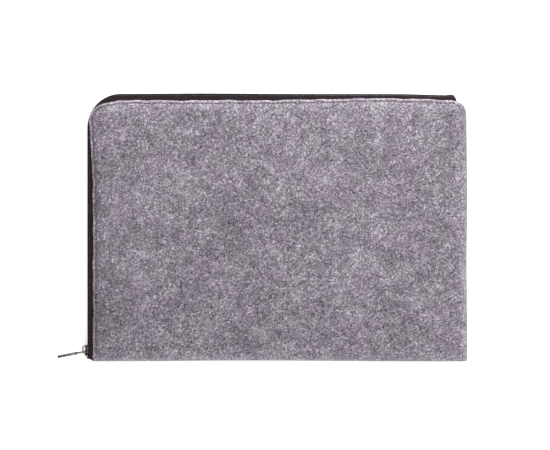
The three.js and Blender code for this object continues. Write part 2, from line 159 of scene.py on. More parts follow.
def zip_line(distance):
    """Point and outward direction on the felt's edge: up, a quarter circle, across, part of a circle."""
    s = np.asarray(distance, float)
    first = np.clip((s - side_run) / zip_corner, 0, math.pi / 2)
    along = np.clip(s - side_run - bend_run, 0, top_run)
    second = np.maximum(s - side_run - bend_run - top_run, 0) / seam_corner
    angle = first + second
    x = left + zip_corner * (1 - np.cos(first)) + along + seam_corner * np.sin(second)
    y = bottom + np.minimum(s, side_run) + zip_corner * np.sin(first) - seam_corner * (1 - np.cos(second))
    return x, y, -np.cos(angle), np.sin(angle)


print(f"zip line: {side_run:.0f} mm up, {bend_run:.0f} mm round, {top_run:.0f} mm across")

# %% [markdown]
# Cut felt and a hand-fed seam are never quite true. The felt's edge wanders by a millimetre or two, and at
# the large corner it laps over the zip. These small shifts depend only on the place along the line, so that
# the stitches keep their distance from the edge.

# %% How the felt's edge wanders
lap_centre = side_run + 11.5
lap_peak, lap_shoulder = 4.1, 1.6
shift_reach = 34  # how far in from the edge the felt still follows its edge's shift
tape_end = side_run + bend_run + top_run + math.radians(22) * seam_corner


def edge_shift(distance):
    """How far the felt's edge stands out past its true line: a slow drift, the corner's lap and ripples."""
    s = np.asarray(distance, float)
    past_side = s - side_run
    drift = 2.0 * hump(s, 0, 2.4) - 1.0 * (1 - smooth_step(s, 155, side_run))
    drift -= 1.7 * smooth_step(past_side, 15, 38) + 0.5 * hump(past_side, 128, 60)
    drift += 1.9 * smooth_step(past_side, 180, 300) - 1.0 * smooth_step(s, tape_end - 25, tape_end - 8)
    apart = s - lap_centre
    lap = lap_peak * hump(apart, 0, np.where(apart < 0, 11, 13)) + lap_shoulder * hump(apart, -28, 24)
    ripple = 0.22 * np.sin(s / 5.1 + 1.3) + 0.18 * np.sin(s / 2.9) + 0.2 * np.sin(s / 11.7 + 0.4)
    return drift + lap + ripple


def settle(x, y):
    """The sleeve's slight skew: its bottom edge bows in, its top edge bows out, and one top corner dips."""
    low_down = 1 - smooth_step(y, bottom, bottom + 110)
    high_up = smooth_step(y, top - 60, top)
    bow = 0.9 * hump(x, -25, 105) * low_down
    rise = (0.2 + 0.5 * hump(x, -72, 60)) * (1 - smooth_step(x, 130, 165))
    dip = (1.1 * smooth_step(x, 110, 185) - rise) * high_up
    spread = (0.4 + 0.3 * np.sin(y / 23)) * smooth_step(x, right - 60, right)
    return x + spread, y + bow - dip


print("the felt's edge shifts by", np.round(edge_shift([20, 150, lap_centre, 400, 560]), 1), "mm")

# %% [markdown]
# ## Felt panels
# A panel is one thick piece of felt. Its face is flat, it rolls over to the closing seam on the right and
# at the bottom, and an allowance is turned in there. At the zip it ends in a cut edge with a row of
# stitches that pulls it down into a groove. A solid with a bevel would look like a board, so the panel is a
# surface of two parameters: the station round its outline, and the distance in from it. Rings get closer
# where the felt bends. The inner face is the same grid a felt's thickness away.


# %% Rings of stations inside the felt's outline
outline_corners = [  # x, y, way in along x and y, radius, stations, and the angle where the turn ends
    (left, bottom, 1, 1, 1.5, 5, math.pi),
    (left, top, 1, -1, zip_corner, 24, math.pi / 2),
    (right, top, -1, -1, seam_corner, 16, 0.0),
    (right, bottom, -1, 1, 2.5, 5, -math.pi / 2),
]
corner_stations = [corner[5] for corner in outline_corners]
side_stations = [150, 214, 150, 214]
stations = sum(corner_stations) + sum(side_stations)


def corner_point(corner, inset, angle):
    """A point on a corner inset by a distance: its circle shrinks by it, and then its centre moves in."""
    x, y, way_x, way_y, radius = corner[:5]
    inside = np.maximum(radius, inset)
    rest = np.maximum(radius - inset, 0)
    return x + way_x * inside + rest * np.cos(angle), y + way_y * inside + rest * np.sin(angle)


def ring_points(inset):
    """Points of the rings from their insets, one row a ring, clockwise from the lower left corner."""
    columns_x, columns_y, first = [], [], 0
    for k, corner in enumerate(outline_corners):
        after = outline_corners[(k + 1) % 4]
        turn = np.linspace(1, 0, corner[5]) * math.pi / 2 + corner[6]
        x, y = corner_point(corner, inset[:, first : first + corner[5]], turn[None])
        first += corner[5]
        own = inset[:, first : first + side_stations[k]]
        share = np.linspace(0, 1, side_stations[k] + 2)[None, 1:-1]
        from_x, from_y = corner_point(corner, own, corner[6])
        to_x, to_y = corner_point(after, own, after[6] + math.pi / 2)
        first += side_stations[k]
        columns_x += [x, from_x + share * (to_x - from_x)]
        columns_y += [y, from_y + share * (to_y - from_y)]
    return np.concatenate(columns_x, axis=1), np.concatenate(columns_y, axis=1)


edge_x, edge_y = (a[0] for a in ring_points(np.zeros((1, stations))))
print(stations, "stations round the outline")

# %% [markdown]
# Each station needs two facts: how far along the zip it is, and whether its edge is sewn shut or belongs to
# the zip. The change from one to the other is gradual, so the felt closes softly where the zip ends.

# %% Which stations belong to the zip
bend_turn = np.arctan2(edge_y - (top - zip_corner), (left + zip_corner) - edge_x)
end_turn = np.arctan2(edge_x - (right - seam_corner), edge_y - (top - seam_corner))
top_start = side_run + bend_run
on_side = edge_y <= top - zip_corner
on_bend = (~on_side) & (edge_x <= left + zip_corner)
place = np.where(on_side, edge_y - bottom, top_start + edge_x - (left + zip_corner))
place = np.where(on_bend, side_run + bend_turn * zip_corner, place)
place = np.where(edge_x > right - seam_corner, top_start + top_run + end_turn * seam_corner, place)
numbers = np.arange(stations)
zip_from = corner_stations[0]
seam_near = zip_from + side_stations[0] + corner_stations[1] + side_stations[1]
seam_from = seam_near + corner_stations[2]
sewn = np.where(numbers < zip_from, 1 - numbers / (zip_from - 1.0), 0.0)
sewn = np.where(numbers >= seam_near, smooth_step(end_turn, 0.3, 0.75), sewn)
sewn = np.where(numbers >= seam_from, 1.0, sewn)
place = np.where(numbers > seam_from, 0.0, place)
print(f"{(sewn > 0.5).sum()} stations are on the closing seam")

# %% [markdown]
# From the seam allowance's tip the section runs out to the seam, over the roll and in across the face.
# Where the zip is, the same rings make the cut edge and the groove of the stitches instead.


# %% Sections of the panel
def roll_height(x, y, inset):
    """Height over the seam plane of a face inset by a distance: round towards both sewn sides, else level."""
    radius = roll - inset
    near = [np.clip((d - inset) / radius, 0, 1) for d in (right - x, y - bottom)]
    return radius * np.sqrt(1 - (1 - near[0]) ** 2) * np.sqrt(1 - (1 - near[1]) ** 2)


def unevenness(x, y, seed):
    """Broad swells of the face: nine waves in random directions, 60 to 180 mm long, a tenth of a mm high."""
    dice = np.random.default_rng(seed)
    swell = np.zeros_like(x)
    for _ in range(9):
        direction = dice.uniform(0, 2 * math.pi)
        length = dice.uniform(60, 180)
        phase = dice.uniform(0, 2 * math.pi)
        onward = x * math.cos(direction) + y * math.sin(direction)
        swell += np.sin(onward * 2 * math.pi / length + phase)
    edge = np.minimum(np.minimum(x - left, right - x), np.minimum(y - bottom, top - y))
    return 0.11 * swell * smooth_step(edge, 4, 45)


def stitch_groove(inset, distance):
    """Depth of the groove: a narrow dip, deeper at the needle holes, in a broad shallow one."""
    holes = 0.8 + 0.2 * np.cos(2 * math.pi * distance / stitch_pitch)
    narrow = 0.85 * holes * hump(inset, stitch_inset, 0.55)
    broad = 0.3 * hump(inset, stitch_inset, 2.4)
    return (narrow + broad) * smooth_step(distance, 6, 12)


# %% [markdown]
# Each list below holds the rings' insets from the outline, in millimetres, from the hidden side outwards and
# then in across the face. Five rings make the allowance or the cut edge, eleven the roll or the groove, and
# the rest the face. The lists of the seam and the zip match ring by ring, so a station can be between them.

# %% Insets of the rings
edge_rings = 5
face_rings = np.linspace(22, (top - bottom) / 2 - 0.05, 27)
past_roll = [12, 15, 18.5]
roll_angles = np.radians([80, 68, 56, 46, 37, 29, 22, 16, 10, 5, 0])
inner_angles = np.radians(np.linspace(57, 0, 11))
outer_roll = roll * (1 - np.sin(roll_angles))
inner_roll = roll - (roll - felt) * np.sin(inner_angles)
groove = [0.12, 0.45, 0.95, 1.5, 1.95, 2.3, 2.65, 3.0, 3.35, 3.8, 4.6]
outer_seam = np.concatenate([[10, 7, 4, 1.6, 0.9], outer_roll, past_roll, face_rings])
outer_zip = np.concatenate([[0.25, 0.1, 0, 0, 0], groove, [6.5, 10, 15], face_rings])
inner_seam = np.concatenate([[10, 8, 6, 4.6, 3.95], inner_roll, past_roll, face_rings])
inner_zip = np.concatenate([[0.5, 0.6, 0.7, 0.8, 0.95], np.linspace(1.2, 5, 11), [7, 10, 15], face_rings])
print(len(outer_seam), "rings on each face")

# %% [markdown]
# The felt's edges carry painted light and shade. Each point holds it as a number, which the finish reads: a
# painted highlight along the zip's edge, painted shade in the stitch groove, lighter on the top edge and
# darker on the side, and a painted highlight along the sewn sides.


# %% Make a felt panel
def edge_light_and_shade(x, y, inset, share, out_x, out_y):
    """Painted edge light: a highlight at the zip's edge less shade in the stitch groove, or a highlight band
    at the seam.
    """
    # painted highlight along the zip's cut edge
    edge_highlight = (1 - smooth_step(inset, 1.7, 2.7)) * smooth_step(inset, 0.05, 0.3)
    holes = 0.75 + 0.25 * np.cos(2 * math.pi * place[None] / stitch_pitch)
    # painted shade in the stitch groove, deepest at the needle holes
    groove_shade = holes * hump(inset, stitch_inset, 0.5) * smooth_step(place[None], 6, 12)
    # painted light: edges facing the top are painted lighter, side edges darker
    facing_light = (0.6 * out_y[None] - 0.3 * np.abs(out_x[None])) * hump(inset, 0, 10)
    at_zip = 0.4 * edge_highlight - 0.5 * groove_shade + facing_light
    # painted highlight along the rolled seam: strong at the bottom, weak up the right side, stronger at the
    # lower right
    on_right = smooth_step(x, right - 14, right - 4)
    low_right = on_right * (1 - smooth_step(y, -40, 60))
    at_seam = (0.7 - 0.6 * on_right + 0.4 * low_right) * (1 - smooth_step(inset, 2, 13))
    return (1 - share) * at_zip + share * at_seam


def felt_face(seam_insets, zip_insets, outside, seed):
    """Points of one face of a panel, rings by stations by x, y and z, and the painted light and shade of its
    edge.
    """
    share = sewn[None, :]
    inset = share * seam_insets[:, None] + (1 - share) * zip_insets[:, None]
    x, y = ring_points(inset)
    rise = roll_height(x, y, 0.0 if outside else felt)
    level = roll_height(x, y, felt)
    cut = np.zeros((len(seam_insets), 1))
    if outside:
        cut[:edge_rings, 0] = [1, 0.8, 0.6, 0.4, 0.2]
        drop = 0.45 * np.exp(-inset / 0.3) + 0.9 * np.exp(-inset / 8)
        rise = rise - (drop + stitch_groove(inset, place[None])) * (1 - share)
    z_zip = rise * (1 - cut) + level * cut
    z_seam = rise.copy()
    allowance = [0.15, 0.15, 0.15, 0.2, 0.7] if outside else [3.15, 3.15, 3.15, 3.2, 3.6]
    z_seam[:edge_rings] = np.array(allowance)[:, None]
    z = mid + share * z_seam + (1 - share) * z_zip + unevenness(x, y, seed)
    _, _, out_x, out_y = zip_line(place)
    stand_out = edge_shift(place)[None] * (1 - smooth_step(inset, 0, shift_reach)) * (1 - share)
    x, y = settle(x + out_x[None] * stand_out, y + out_y[None] * stand_out)
    # painted light and shade along the edges, on the outer face only
    brushed = outside * edge_light_and_shade(x, y, inset, share, out_x, out_y)
    return np.stack([x, y, z], axis=-1), brushed


def felt_panel(name, seed, back=False):
    """A closed solid of felt from its outer and inner faces; the back one is turned over about the middle.

    Welding joins the rings' points where they crowd together, at the square corners and on the middle line.
    """
    outer, outer_brushed = felt_face(outer_seam, outer_zip, True, seed)
    inner, inner_brushed = felt_face(inner_seam, inner_zip, False, seed)
    rings = len(outer)
    points = np.concatenate([outer.reshape(-1, 3), inner.reshape(-1, 3)])
    if back:
        points[:, 2] = np.maximum(thickness - points[:, 2], 0)
    rim = np.arange(stations)
    beside = np.roll(rim, -1)
    edge = np.stack([rim, beside, beside + rings * stations, rim + rings * stations], axis=1)
    faces = grid_faces(rings, stations, around=True).tolist() + edge.tolist()
    faces += grid_faces(rings, stations, around=True, start=rings * stations, flip=True).tolist()
    brushed = np.concatenate([outer_brushed, inner_brushed])
    return new_piece(name, points, faces, weld=0.12, brushed=brushed)


front_felt = felt_panel("front_felt", seed=4)
back_felt = felt_panel("back_felt", seed=9, back=True)

# %% [markdown]
# ## Zip tapes
# A zip tape is a woven strip. It is sewn under the felt's edge, comes out, bends down into the gusset and
# ends at the teeth. Its section is carried along the zip line. UV coordinates, in metres along and across
# the tape, let the weave follow it round the corner.


# %% Carry a section along the zip line
stand_off = left - low("back_zip_tape_side", 0)
tape_thick, tape_under = 0.6, 9.0  # how thick it is, and how far it reaches under the felt
tape_top, tape_foot = thickness - felt - 0.3, mid + 0.7  # heights of its flat part and of its free edge
tape_start = low("back_zip_tape_side", 1) - bottom - 1.0


def on_zip_line(distance, outward, height):
    """Points outward of the felt's edge at a height, from distances along the zip line."""
    x, y, out_x, out_y = zip_line(distance)
    x, y = settle(x + out_x * outward, y + out_y * outward)
    return np.stack([x, y, np.broadcast_to(height, x.shape)], axis=-1)


def tape_section():
    """Outline of the tape's section, outward and height: flat under the felt, a quarter round, then down."""
    bend = 1.5
    turn = np.linspace(0, math.pi / 2, 6)
    flat = np.linspace(-tape_under, stand_off - bend, 8)
    drop = np.linspace(tape_top - bend, tape_foot, 7)

    def side(depth):
        """The section's line at a depth in the cloth: its flat, its bend and its drop."""
        radius = bend - depth
        bent = [stand_off - bend + radius * np.sin(turn), tape_top - bend + radius * np.cos(turn)]
        level = [flat, np.full(len(flat), tape_top - depth)]
        hanging = [np.full(len(drop), stand_off - depth), drop]
        return np.stack(level, 1), np.stack(bent, 1), np.stack(hanging, 1)

    level, bent, hanging = side(0)
    level_below, bent_below, hanging_below = side(tape_thick)
    below = [hanging_below[::-1], bent_below[::-1][1:], level_below[::-1][1:]]
    return np.concatenate([level, bent[1:], hanging[1:]] + below)


def zip_tape(name, back=False):
    """The tape's section at each station; its tails are cut slantwise, open out and narrow under the felt."""
    close_until = 8  # the tail's stations are closer together up to here
    tail_part, long_part = np.linspace(tape_start, close_until, 16), np.linspace(close_until, tape_end, 380)
    along = np.concatenate([tail_part[:-1], long_part])
    section = tape_section()
    half = len(section) // 2
    steps = np.linalg.norm(np.diff(section[:half], axis=0), axis=1)
    width = np.concatenate([[0], np.cumsum(steps)])
    width = np.concatenate([width, width[::-1]])
    level = np.where(np.arange(2 * half) < half, section[0, 1], section[0, 1] - tape_thick)
    tail = 0.4 * (1 - smooth_step(along, tape_start + 0.8, tape_start + 3.8))
    tail = tail + 0.4 * smooth_step(along, tape_end - 17, tape_end - 9)
    outward = section[None, :, 0] + tail[:, None] * (width - tape_under - section[:, 0])[None]
    height = section[None, :, 1] + tail[:, None] * (level - section[:, 1])[None]
    room = smooth_step(along, 6, 15) * (1 - smooth_step(along, tape_end - 8, tape_end))
    outward = np.where(outward < -1, -1 + (outward + 1) * room[:, None], outward)
    slant = np.clip(outward + 1, 0, 8)
    at_start = 1 - smooth_step(along, tape_start, tape_start + 9)
    at_end = smooth_step(along, tape_end - 10, tape_end)
    distance = along[:, None] + 0.4 * slant * at_start[:, None] - 0.7 * slant * at_end[:, None]
    waver = 0.12 * np.sin(distance / 7.3) + 0.1 * np.sin(distance / 3.1 + 2)
    shown = (outward > -1) * (height > mid + 2)
    points = on_zip_line(distance, outward, height + waver * shown)
    if back:
        points[..., 2] = thickness - points[..., 2]
    count = len(section)
    faces = grid_faces(len(along), count, around=True).tolist()
    faces += [list(range(count))[::-1], list(range((len(along) - 1) * count, len(along) * count))]
    tape = new_piece(name, points, faces)
    uv = np.stack(np.broadcast_arrays(distance * MM, width[None] * MM), axis=-1).reshape(-1, 2)
    layer = tape.data.uv_layers.new(name="weave")
    corner_points = np.empty(len(tape.data.loops), int)
    tape.data.loops.foreach_get("vertex_index", corner_points)
    layer.data.foreach_set("uv", uv[corner_points].ravel())
    return tape


front_tape = zip_tape("front_tape")
back_tape = zip_tape("back_tape", back=True)

# %% [markdown]
# ## Coil teeth
# The teeth of this zip are the turns of one nylon thread on each tape, wound round a cord. The turns of the
# two halves mesh with each other. A helix is carried along the zip line: each turn is a flattened loop, and
# the back half is half a pitch further on, so its heads fall between the front ones.

# %% Wind the two coils
coil_pitch, wire = 1.36, 0.31
loop_low, loop_high = mid - 0.4, mid + 3.3
cord_middle, cord_wide, cord_high = mid + 1.9, 0.42, 0.9
coil_inner, coil_outer = stand_off + 0.2, left - low("back_zip_coil", 0)
coil_start = low("back_zip_coil", 1) - bottom
coil_end = side_run + bend_run + high("back_zip_coil", 0) - left - zip_corner


def coil(name, back=False):
    """A tube along a flattened helix round a cord: outward and height go round while the distance runs on."""
    turns = int((coil_end - coil_start) / coil_pitch) - 1
    steps, sides = 12, 5
    t = np.arange(turns * steps) / steps
    angle = 2 * math.pi * t
    out_way = np.sign(np.cos(angle)) * np.abs(np.cos(angle)) ** 0.6
    up_way = np.sign(np.sin(angle)) * np.abs(np.sin(angle)) ** 0.7
    distance = coil_start + wire + coil_pitch * (t + (0.5 if back else 0.0))
    parted = 0.85 * (1 - smooth_step(distance, coil_start + 3.5, coil_start + 6))
    low_side, high_side = loop_low + wire, loop_high - wire
    middle = (coil_inner + coil_outer) / 2
    outward = middle + ((coil_outer - coil_inner) / 2 - wire) * out_way
    height = (low_side + high_side) / 2 + (high_side - low_side) / 2 * up_way + parted * (up_way < 0)
    _, _, out_x, out_y = zip_line(distance)
    radial = np.stack([np.cos(angle) * out_x, np.cos(angle) * out_y, np.sin(angle)], axis=-1)
    forward = np.stack([out_y, -out_x, np.zeros_like(out_x)], axis=-1)
    round_wire = np.linspace(0, 2 * math.pi, sides, endpoint=False)[None, :, None]
    centre = on_zip_line(distance, outward, height)
    ring = np.cos(round_wire) * radial[:, None] + np.sin(round_wire) * forward[:, None]
    points = centre[:, None] + wire * ring
    faces = tube_faces(1, len(t), sides)
    rings, cord_sides = 300, 6
    along = np.repeat(np.linspace(coil_start + 0.3, coil_end - 0.3, rings), cord_sides)
    cord_angle = np.tile(np.linspace(0, 2 * math.pi, cord_sides, endpoint=False), rings)
    cord_height = cord_middle + cord_high * np.sin(cord_angle)
    cord = on_zip_line(along, middle + cord_wide * np.cos(cord_angle), cord_height)
    faces += tube_faces(1, rings, cord_sides, start=len(t) * sides)
    points = np.concatenate([points.reshape(-1, 3), cord])
    if back:
        points[:, 2] = thickness - points[:, 2]
    return new_piece(name, points, faces)


front_coil = coil("front_coil")
back_coil = coil("back_coil", back=True)

# %% [markdown]
# ## Stitches
# A lockstitch shows as a row of short threads that rise out of one hole and dive into the next. Each one is
# a small spindle along the line of the seam; one array holds them all.


# %% Lay rows of stitches
def spindles(start, finish, dip, girth):
    """Closed spindles between pairs of points: each arches up in its middle and thins at its ends."""
    rings, sides = 7, 6
    t = np.linspace(0, 1, rings)
    line = finish - start
    length = np.linalg.norm(line, axis=1, keepdims=True)
    forward = line / length
    sideways = np.stack([forward[:, 1], -forward[:, 0], np.zeros(len(line))], axis=-1)
    up = np.array([0, 0, 1.0]) * np.sign(dip)
    body = girth * (1 - np.abs(2 * t - 1) ** 3.5 * 0.8)
    arch = -abs(dip) * np.abs(2 * t - 1) ** 2.2
    centre = start[:, None] + line[:, None] * t[None, :, None] + up * arch[None, :, None]
    turn = np.linspace(0, 2 * math.pi, sides, endpoint=False)[None, None, :, None]
    ring = np.cos(turn) * sideways[:, None, None] + np.sin(turn) * up
    points = centre[:, :, None] + body[None, :, None, None] * ring
    return points.reshape(-1, 3), tube_faces(len(start), rings, sides)


def top_stitches(name, back=False):
    """A row of stitches along the zip, in the felt's groove, at an even distance from the wandering edge."""
    hole = np.arange(roll + 1.0, tape_end - 1, stitch_pitch)
    inset = stitch_inset - edge_shift(hole) * (1 - smooth_step(stitch_inset, 0, shift_reach))
    points = on_zip_line(hole, -inset, thickness - 0.5)
    shrink = (points[1:] - points[:-1]) * 0.08
    row, faces = spindles(points[:-1] + shrink, points[1:] - shrink, 0.35, 0.3)
    if back:
        row[:, 2] = thickness - row[:, 2]
    return new_piece(name, row, faces)


def closing_stitches(name):
    """The hidden row that closes the bottom and the right side, on the allowance turned in there."""
    inset, height, pitch = 6.5, mid + 3.45, 3.4
    along_bottom = np.arange(left + 8, right - inset, pitch)
    up_side = np.arange(bottom + inset, top - seam_corner, pitch)
    rows = []
    for x, y in ((along_bottom, bottom + inset), (right - inset, up_side)):
        rows.append(np.stack(np.broadcast_arrays(*settle(x, y), height), axis=-1))
    start = np.concatenate([row[:-1] for row in rows])
    finish = np.concatenate([row[1:] for row in rows])
    row, faces = spindles(start, finish, 0.25, 0.28)
    return new_piece(name, row, faces)


front_stitches = top_stitches("front_top_stitches")
back_stitches = top_stitches("back_top_stitches", back=True)
seam_stitches = closing_stitches("closing_stitches")

# %% [markdown]
# ## Metal pieces
# The slider, its puller and the stops are zinc castings. Their CAD shapes are right but their edges are
# knife-sharp, and a real casting's edges are round and catch the light. Each is copied, shifted with the
# felt's slight skew, its loose triangles are joined, and a small bevel rounds it.


# %% Round the castings' edges
def casting(name, node, edge, highlight_strength, segments=2):
    """A copy of a CAD node with joined points and rounded edges; the fourth value sets how bright the painted
    highlight is on faces that look up or down.
    """
    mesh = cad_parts[node].data.copy()
    mesh.name = name
    points = np.empty(len(mesh.vertices) * 3)
    mesh.vertices.foreach_get("co", points)
    points = points.reshape(-1, 3)
    x, y = settle(points[:, 0] / MM, points[:, 1] / MM)
    points[:, 0], points[:, 1] = x * MM, y * MM
    mesh.vertices.foreach_set("co", points.ravel())
    # the strength of the painted highlight, kept on the points for the finish
    mesh.attributes.new("highlight_strength", "FLOAT", "POINT").data.foreach_set("value", [highlight_strength] * len(mesh.vertices))
    work = bmesh.new()
    work.from_mesh(mesh)
    bmesh.ops.remove_doubles(work, verts=work.verts, dist=1e-6)
    bmesh.ops.dissolve_limit(work, angle_limit=math.radians(2), verts=work.verts, edges=work.edges)
    bmesh.ops.recalc_face_normals(work, faces=work.faces)
    work.to_mesh(mesh)
    work.free()
    mesh.materials.clear()
    mesh.polygons.foreach_set("use_smooth", [True] * len(mesh.polygons))
    piece = bpy.data.objects.new(name, mesh)
    bpy.context.scene.collection.objects.link(piece)
    bevel = piece.modifiers.new("rounded edges", "BEVEL")
    bevel.width = edge * MM
    bevel.segments = segments
    bevel.limit_method = "ANGLE"
    bevel.angle_limit = math.radians(40)
    bevel.use_clamp_overlap = True
    print(f"{name}: bevel of {edge} mm on {len(mesh.polygons)} faces")
    return piece


# The second number of each casting is how strong its painted highlight is on faces looking up or down.
slider = casting("slider_casting", "slider_body", 0.16, highlight_strength=0.15)
puller = casting("puller_casting", "puller", 0.45, highlight_strength=0.42, segments=3)
front_stop = casting("front_stop", "front_top_stop", 0.3, highlight_strength=0.1)
back_stop = casting("back_stop", "back_top_stop", 0.3, highlight_strength=0.1)
end_stop = casting("end_stop", "bottom_stop", 0.3, highlight_strength=0.1)

# %% [markdown]
# ## Finishes
# Every finish is built from procedural textures. The felt, nylon, thread and metal read Object coordinates,
# because their grain has no direction; the tape reads its UV map, because its weave runs along it. These
# helpers add a node with its values, join two sockets, and paint a shader's socket through a colour ramp.


# %% Helpers for finishes
def new_finish(name, rough, **sockets):
    """A material with one Principled shader, and its uniform values set on the shader's own sockets."""
    finish = bpy.data.materials.new(name)
    finish.use_nodes = True
    shader = finish.node_tree.nodes["Principled BSDF"]
    shader.inputs["Roughness"].default_value = rough
    for socket, value in sockets.items():
        shader.inputs[socket.replace("_", " ")].default_value = value
    return finish, shader


def add_node(finish, kind, settings=None, **values):
    """A node of a kind, its settings such as a blend type, and the values of its input sockets."""
    node = finish.node_tree.nodes.new(kind)
    for key, value in (settings or {}).items():
        setattr(node, key, value)
    for socket, value in values.items():
        node.inputs[socket.replace("_", " ")].default_value = value
    return node


def join(finish, source, target):
    """Joins an output socket to an input socket."""
    finish.node_tree.links.new(source, target)


def math_node(finish, operation, first, second=0.0):
    """A Math node whose inputs are sockets or numbers."""
    node = add_node(finish, "ShaderNodeMath", {"operation": operation})
    for slot, value in enumerate((first, second)):
        if isinstance(value, (int, float)):
            node.inputs[slot].default_value = value
        else:
            join(finish, value, node.inputs[slot])
    return node.outputs[0]


# %% [markdown]
# These make the textures. Noise gives lumps of a chosen size, a bump turns a height into relief, and a ramp
# turns a value into a colour.


# %% Textures, bumps and ramps
def noise(finish, coordinates, scale, detail=2.0, rough=0.5, twist=0.0):
    """A noise texture's value: scale is how many lumps there are in a metre."""
    values = {"Scale": scale, "Detail": detail, "Roughness": rough, "Distortion": twist}
    node = add_node(finish, "ShaderNodeTexNoise", **values)
    join(finish, coordinates, node.inputs["Vector"])
    return node.outputs["Fac"]


def bump(finish, height, distance, strength, shader):
    """Joins a height to the shader's normal through a Bump node; distance is in metres."""
    node = add_node(finish, "ShaderNodeBump", Distance=distance, Strength=strength)
    join(finish, height, node.inputs["Height"])
    join(finish, node.outputs["Normal"], shader.inputs["Normal"])


def ramp(finish, value, stops):
    """A colour ramp from pairs of position and linear colour."""
    node = add_node(finish, "ShaderNodeValToRGB")
    while len(node.color_ramp.elements) < len(stops):
        node.color_ramp.elements.new(0.5)
    for element, (position, colour) in zip(node.color_ramp.elements, stops):
        element.position = position
        element.color = (*colour, 1)
    join(finish, value, node.inputs["Fac"])
    return node.outputs["Color"]


def paint(finish, shader, socket, value, stops):
    """Joins a colour ramp of a value to one of the shader's sockets."""
    join(finish, ramp(finish, value, stops), shader.inputs[socket])


def grey(level):
    """A linear colour with no cast."""
    return (level, level, level)


def object_place(finish):
    """The Object coordinates of a finish, in metres."""
    return add_node(finish, "ShaderNodeTexCoord").outputs["Object"]


# %% [markdown]
# ### Felt
# Pressed wool felt is a tangle of light and dark fibres. From far off it is a mottled grey with a purple
# cast; nearer, the tufts are a few millimetres across, and single fibres lie over them. So the value that
# chooses between dark and light wool is a sum of noises from broad clouds down to fine fibres, and thin
# bright lines come from where a twisted noise crosses its middle value.

# %% Felt finish
wool_gloss = {"Sheen_Weight": 0.2, "Sheen_Roughness": 0.6, "Specular_IOR_Level": 0.1}
wool, wool_shader = new_finish("felt", 1.0, **wool_gloss)
grain = object_place(wool)


def weighted(finish, total, value, weight, middle=0.5):
    """Adds weight times the value's distance from its middle to a total."""
    part = math_node(finish, "MULTIPLY", math_node(finish, "SUBTRACT", value, middle), weight)
    return math_node(finish, "ADD", part, total)


def threads_in(finish, coordinates, scale, sharpness, twist):
    """Thin curved lines: 1 where a twisted noise crosses its middle value, and 0 a little away from there."""
    value = noise(finish, coordinates, scale, detail=1.0, twist=twist)
    away = math_node(finish, "ABSOLUTE", math_node(finish, "SUBTRACT", value, 0.5))
    spread = math_node(finish, "MINIMUM", math_node(finish, "MULTIPLY", away, sharpness), 1.0)
    return math_node(finish, "SUBTRACT", 1.0, spread)


clouds = noise(wool, grain, 16, detail=2, rough=0.6)
tufts = noise(wool, grain, 80, detail=4.0, rough=0.82, twist=0.3)
fibres = noise(wool, grain, 620, detail=1.0, rough=0.6, twist=0.8)
pale_strands = threads_in(wool, grain, 330, 8.0, 1.6)
dark_strands = threads_in(wool, grain, 290, 9.0, 1.3)
mixed = weighted(wool, 0.43, clouds, 0.22)
mixed = weighted(wool, mixed, tufts, 0.85)
mixed = weighted(wool, mixed, fibres, 1.5)
mixed = weighted(wool, mixed, pale_strands, 0.17, middle=0.35)
mixed = weighted(wool, mixed, dark_strands, -0.13, middle=0.35)
# painted light and shade along the felt's edges, carried on the points, lightens or darkens the wool's colour
brushed = add_node(wool, "ShaderNodeAttribute", {"attribute_name": "brushed"}).outputs["Fac"]
mixed = weighted(wool, mixed, brushed, 0.25, middle=0.0)
purple_wool = [(0.0, (0.021, 0.0165, 0.0215)), (0.5, (0.147, 0.126, 0.153)), (1.0, (0.47, 0.41, 0.49))]
neutral_wool = [(0.0, (0.02, 0.0175, 0.0205)), (0.5, (0.141, 0.127, 0.145)), (1.0, (0.45, 0.415, 0.465))]
purple = ramp(wool, mixed, purple_wool)
neutral = ramp(wool, mixed, neutral_wool)
patches = noise(wool, grain, 40, detail=2, rough=0.6)
cast = ramp(wool, patches, [(0.45, grey(0)), (0.62, grey(1))])
blend = add_node(wool, "ShaderNodeMix", {"data_type": "RGBA"})
join(wool, cast, blend.inputs["Factor"])
join(wool, purple, blend.inputs["A"])
join(wool, neutral, blend.inputs["B"])
join(wool, blend.outputs["Result"], wool_shader.inputs["Base Color"])
relief = weighted(wool, 0.0, tufts, 0.6)
relief = weighted(wool, relief, fibres, 0.6)
relief = weighted(wool, relief, pale_strands, 0.25)
bump(wool, relief, 0.0012, 0.6, wool_shader)
print("felt finish:", len(wool.node_tree.nodes), "nodes")

# %% [markdown]
# ### Zip tape, coil and thread
# The tape is woven near-black polyester with fine ribs along it. The coil is smooth nylon with a soft
# gloss, and the sewing thread is grey, matched to the felt, with a twist along it.

# %% Tape finish
tape_finish, tape_shader = new_finish("zip_tape", 0.8, Sheen_Weight=0.02, Specular_IOR_Level=0.07)
weave = add_node(tape_finish, "ShaderNodeUVMap", {"uv_map": "weave"}).outputs["UV"]


def yarns(direction, scale, distortion):
    """Parallel yarns as bands across one direction of the weave."""
    values = {"Scale": scale, "Distortion": distortion, "Detail": 1.0}
    node = add_node(tape_finish, "ShaderNodeTexWave", {"bands_direction": direction}, **values)
    join(tape_finish, weave, node.inputs["Vector"])
    return node.outputs["Fac"]


